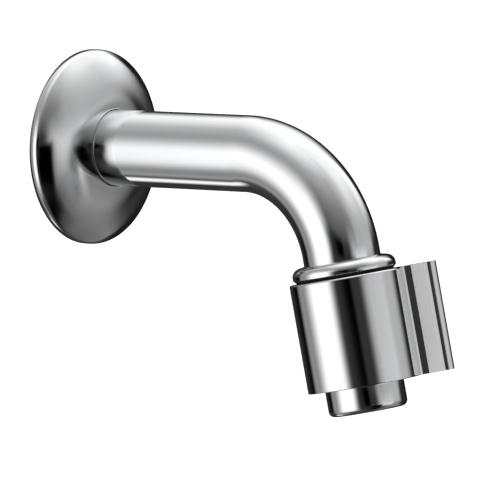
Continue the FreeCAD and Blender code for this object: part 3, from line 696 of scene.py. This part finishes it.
sides = calculate(screen_group, "MULTIPLY",
                  soft_edge("Round", "Left", 0, 1), soft_edge("Round", "Right", 1, 0))
ends = calculate(screen_group, "MULTIPLY",
                 soft_edge("Height", "Low", 0, 1), soft_edge("Height", "Top", 1, 0))
screen_group.links.new(calculate(screen_group, "MULTIPLY", sides, ends), give.inputs["Mask"])

# %% Light the studio
world = bpy.data.worlds.new("studio")
bpy.context.scene.world = world
world.use_nodes = True
sky = world.node_tree
sky.nodes.clear()

parts = add(sky, "SeparateXYZ")
sky.links.new(add(sky, "TexCoord").outputs["Generated"], parts.inputs["Vector"])
x, y, z = parts.outputs
toward = (math.sin(CAMERA_AZIMUTH), -math.cos(CAMERA_AZIMUTH))
ahead = calculate(sky, "ADD", calculate(sky, "MULTIPLY", x, toward[0]),
                  calculate(sky, "MULTIPLY", y, toward[1]))
across = calculate(sky, "SUBTRACT", calculate(sky, "MULTIPLY", y, toward[0]),
                   calculate(sky, "MULTIPLY", x, toward[1]))
round_angle = calculate(sky, "DEGREES", calculate(sky, "ARCTAN2", across, ahead))
height_angle = calculate(sky, "DEGREES", calculate(sky, "ARCSINE", z))


def grey(brightness):
    return (brightness, brightness, brightness, 1)


def by_height(stops):
    """Brightness that changes with height only: (degrees above the horizon, brightness)."""
    ramp = add(sky, "ValToRGB")
    part = calculate(sky, "ADD", calculate(sky, "DIVIDE", height_angle, 180), 0.5)
    sky.links.new(part, ramp.inputs["Fac"])
    elements = ramp.color_ramp.elements
    elements.remove(elements[1])
    for i, (degrees, brightness) in enumerate(stops):
        element = elements[0] if i == 0 else elements.new(degrees / 180 + 0.5)
        element.position = degrees / 180 + 0.5
        element.color = grey(brightness)
    return ramp.outputs["Color"]


def hang(behind, brightness, left, right, low, top):
    """Hang a screen of a brightness or a ramp; an edge is (degrees, half its soft border's width)."""
    window = sky.nodes.new("ShaderNodeGroup")
    window.node_tree = screen_group
    sky.links.new(round_angle, window.inputs["Round"])
    sky.links.new(height_angle, window.inputs["Height"])
    for name, (middle, soft) in (("Left", left), ("Right", right), ("Low", low), ("Top", top)):
        window.inputs[name].default_value = middle
        window.inputs[name + " Soft"].default_value = soft
    mix = add(sky, "Mix", data_type="RGBA")
    sky.links.new(window.outputs["Mask"], mix.inputs["Factor"])
    sky.links.new(behind, mix.inputs["A"])
    is_ramp = isinstance(brightness, bpy.types.NodeSocket)
    feed(sky, brightness if is_ramp else grey(brightness), mix.inputs["B"])
    return mix.outputs["Result"]


NO_START, NO_END = (-999.0, 1), (999.0, 1)
ROOM_STRENGTH = 1.22

room = by_height([(-90, 0.02), (-50, 0.08), (-10, 0.0), (5, 0.02), (15, 0.07), (35, 0.21), (55, 0.40),
                  (75, 0.80), (90, 1.0)])
right_floor = by_height([(-90, 0.02), (-45, 0.16), (-28, 0.26), (-12, 0.20), (0, 0.26)])
# right half: grey floor and side, a light wall, and a bright ceiling
room = hang(room, right_floor, (53, 5), NO_END, NO_START, (60, 25))
room = hang(room, 0.44, (31, 10), NO_END, (3, 4), (17, 15))
room = hang(room, 0.90, (65, 35), NO_END, (30, 22), NO_END)
# bright sky behind the tap, from the right and from the left
room = hang(room, 1.00, (116, 16), NO_END, (4, 14), NO_END)
room = hang(room, 1.00, NO_START, (-138, 40), (13, 25), NO_END)
# white box on the left
room = hang(room, 1.08, (-89, 19), (-31, 16), (-38, 19), (26, 23))
# grey and black screens behind, left and right
room = hang(room, 0.45, (-116, 9), (-105, 35), (-69, 4), (58, 4))
room = hang(room, 0.03, NO_START, (-143, 17), (-57, 13), (28, 14))
room = hang(room, 1.00, (-148, 8), (-131, 8), (-56, 5), (-43, 4))
room = hang(room, 0.02, (110, 10), NO_END, (-33, 7), (14, 12))
# light strip right of the camera, dark floor in front and dark corner far right
room = hang(room, 0.76, (43, 4), (80, 8), (-24, 24), (7, 5))
room = hang(room, 0.0, (4, 35), (64, 29), (-93, 35), (-20, 30))
room = hang(room, 0.01, (142, 4), NO_END, (-55, 26), (32, 18))
# the dim camera side and the black round the camera
room = hang(room, 0.03, (-28, 10), (26, 13), (-10, 13), (12, 4))
room = hang(room, 0.0, (12, 8), (40, 4), (-30, 10), (3, 3))
room = hang(room, 0.0, (-14, 12), (8, 5), (2, 4), (13, 4))

lit = add(sky, "Background")
sky.links.new(room, lit.inputs["Color"])
lit.inputs["Strength"].default_value = ROOM_STRENGTH
plain = add(sky, "Background")
plain.inputs["Color"].default_value = grey(1.0)
plain.inputs["Strength"].default_value = 1.0
seen = add(sky, "MixShader")     # white for the camera, the room for every other ray
sky.links.new(add(sky, "LightPath").outputs["Is Camera Ray"], seen.inputs["Fac"])
sky.links.new(lit.outputs["Background"], seen.inputs[1])
sky.links.new(plain.outputs["Background"], seen.inputs[2])
world_output = add(sky, "OutputWorld")
sky.links.new(seen.outputs["Shader"], world_output.inputs["Surface"])
bpy.context.scene.view_settings.view_transform = "Standard"

# %% [markdown]
# ## Camera
# The photograph was taken from far away through a long lens, from the left, a little above the
# pipe. The camera is also rolled by two degrees. The camera sees plain white behind the tap, as in the
# photograph, and only the chrome sees the room.

# %% Place the camera
CAMERA_DISTANCE = 2.4
CAMERA_TARGET = Vector((4.083, -54.938, -27.848)) * MM
LENS, SENSOR_WIDTH, FAR_CLIP = 576.6, 36.0, 100.0

back = Vector((math.sin(CAMERA_AZIMUTH) * math.cos(CAMERA_HEIGHT),
               -math.cos(CAMERA_AZIMUTH) * math.cos(CAMERA_HEIGHT), math.sin(CAMERA_HEIGHT)))
level = Vector((math.cos(CAMERA_AZIMUTH), math.sin(CAMERA_AZIMUTH), 0))
upright = back.cross(level)
right = math.cos(CAMERA_ROLL) * level + math.sin(CAMERA_ROLL) * upright
up = back.cross(right)
place_camera = Matrix((right, up, back)).transposed().to_4x4()
place_camera.translation = CAMERA_TARGET + back * CAMERA_DISTANCE

deselect()
bpy.ops.object.camera_add()
camera = bpy.context.object
camera.name = "camera"
camera.matrix_world = place_camera
camera.data.lens = LENS
camera.data.sensor_width = SENSOR_WIDTH
camera.data.clip_end = FAR_CLIP
bpy.context.scene.camera = camera
print("camera at", [round(v, 3) for v in camera.location])
